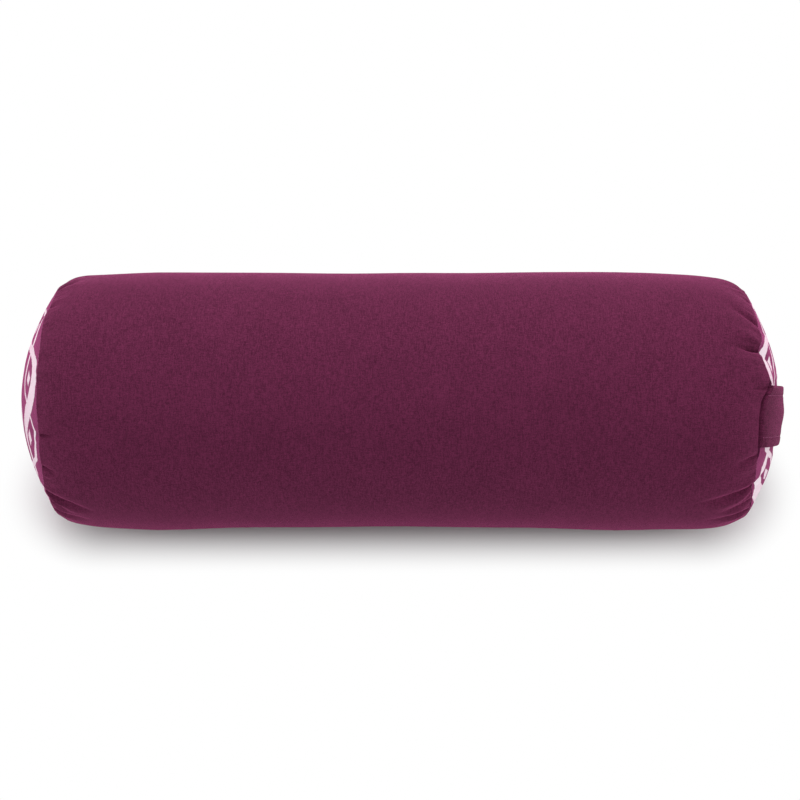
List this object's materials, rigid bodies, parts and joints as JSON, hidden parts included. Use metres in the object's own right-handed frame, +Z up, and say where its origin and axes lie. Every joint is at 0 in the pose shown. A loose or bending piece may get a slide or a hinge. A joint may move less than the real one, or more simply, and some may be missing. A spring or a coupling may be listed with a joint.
{
  "type": "yoga bolster",
  "caption": "Round floor bolster: a zipped cotton cover with gathered, crowned ends and a sewn carry strap, over a filled inner bag.",
  "frame": {"origin": "middle of the flattened face that the bolster lies on", "axes": "+X along the bolster towards the carry handle, +Z up, -Y the side that the picture is taken from"},
  "size_m": [0.6618, 0.222, 0.218],
  "materials": {
    "cover_cotton": "matt plum woven cotton",
    "end_print": "matt magenta cotton with a pale printed ornament",
    "handle_cotton": "matt plum woven cotton, topstitched",
    "zip_tape": "woven tape",
    "zip_teeth": "moulded, satin",
    "zip_metal": "enamelled, worn at the edges",
    "bag_calico": "unbleached cotton",
    "filling": "loose husks"
  },
  "bodies": {
    "bolster": {"cover_tube": "cover_cotton", "end_panel_left": "end_print", "end_panel_right": "end_print", "carry_handle": "handle_cotton", "zip_tape_upper": "zip_tape", "zip_tape_lower": "zip_tape", "zip_teeth_upper": "zip_teeth", "zip_teeth_lower": "zip_teeth", "zip_top_stop_upper": "zip_metal", "zip_top_stop_lower": "zip_metal", "zip_bottom_stop": "zip_metal", "inner_bag_tube": "bag_calico", "inner_bag_end_left": "bag_calico", "inner_bag_end_right": "bag_calico", "filling": "filling"},
    "slider": {"zip_slider": "zip_metal"},
    "pull": {"zip_pull": "zip_metal"}
  },
  "joints": [
    {"name": "zip_slide", "type": "slide", "parent": "bolster", "child": "slider", "axis": [1, 0, 0], "range_m": [0, 0.3992], "deforming": ["zip_teeth_upper", "zip_teeth_lower"]},
    {"name": "pull_swing", "type": "hinge", "parent": "slider", "child": "pull", "pos_m": [-0.1996, 0.10799, 0.13594], "axis": [0, -0.2588, 0.9659], "range_deg": [0, 180]}
  ]
}
